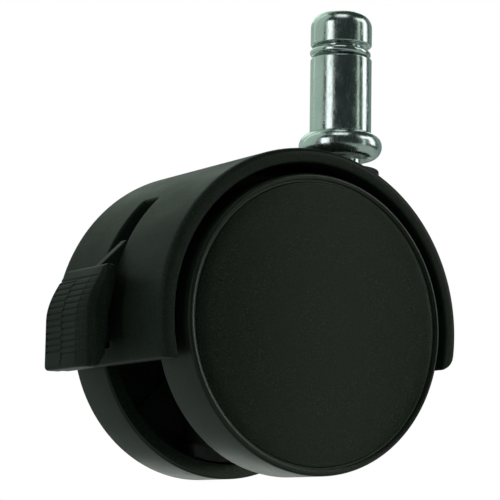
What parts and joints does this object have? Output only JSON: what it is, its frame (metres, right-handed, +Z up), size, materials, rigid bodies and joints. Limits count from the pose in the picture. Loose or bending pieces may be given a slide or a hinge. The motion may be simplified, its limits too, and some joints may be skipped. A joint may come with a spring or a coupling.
{
  "type": "chair caster wheel",
  "caption": "Hooded twin-wheel swivel caster with a grip-ring stem and a foot-operated wheel brake.",
  "frame": {"origin": "the stem's axis at the collar's top face, where the chair leg rests", "axes": "+Z up along the stem, the axle along Y, the wheels and the brake pedal towards -X"},
  "size_m": [0.066, 0.0392, 0.0837],
  "materials": {
    "hood_plastic": "satin moulded, near black",
    "wheel_plastic": "smooth satin moulded, near black",
    "disc_plastic": "fine-grained matte, near black",
    "pedal_plastic": "ridged matte, near black",
    "shoe_plastic": "matte moulded",
    "nylon": "natural nylon",
    "stem_steel": "bright nickel plate, turned",
    "inner_steel": "ground",
    "spring_steel": "blued spring steel",
    "pad_rubber": "matte"
  },
  "bodies": {
    "stem": {"stem": "stem_steel", "grip_ring": "stem_steel", "stem_snap_ring": "spring_steel"},
    "housing": {"hood_housing": "hood_plastic", "stem_sleeve": "nylon", "thrust_ball": "inner_steel", "axle": "inner_steel", "near_thrust_washer": "nylon", "far_thrust_washer": "nylon", "near_axle_clip": "spring_steel", "far_axle_clip": "spring_steel", "detent_spring": "spring_steel"},
    "near_wheel": {"near_wheel": "wheel_plastic", "near_cover_disc": "disc_plastic"},
    "far_wheel": {"far_wheel": "wheel_plastic", "far_cover_disc": "disc_plastic"},
    "pedal": {"brake_pedal": "pedal_plastic"},
    "shoe": {"brake_shoe": "shoe_plastic", "shoe_pin": "inner_steel", "near_brake_pad": "pad_rubber", "far_brake_pad": "pad_rubber"}
  },
  "joints": [
    {"name": "swivel", "type": "hinge", "parent": "stem", "child": "housing", "pos_m": [0, 0, 0], "axis": [0, 0, 1], "continuous": true},
    {"name": "near_wheel_roll", "type": "hinge", "parent": "housing", "child": "near_wheel", "pos_m": [-0.0175, 0, -0.0367], "axis": [0, 1, 0], "continuous": true},
    {"name": "far_wheel_roll", "type": "hinge", "parent": "housing", "child": "far_wheel", "pos_m": [-0.0175, 0, -0.0367], "axis": [0, 1, 0], "continuous": true},
    {"name": "pedal_lift", "type": "hinge", "parent": "housing", "child": "pedal", "pos_m": [-0.0175, 0, -0.0367], "axis": [0, 1, 0], "range_deg": [0, 17]},
    {"name": "shoe_lift", "type": "slide", "parent": "housing", "child": "shoe", "axis": [0, 0, 1], "range_m": [0, 0.001]}
  ],
  "couplings": [
    {"joint": "shoe_lift", "follows": "pedal_lift", "m_per_rad": 0.0033703}
  ]
}
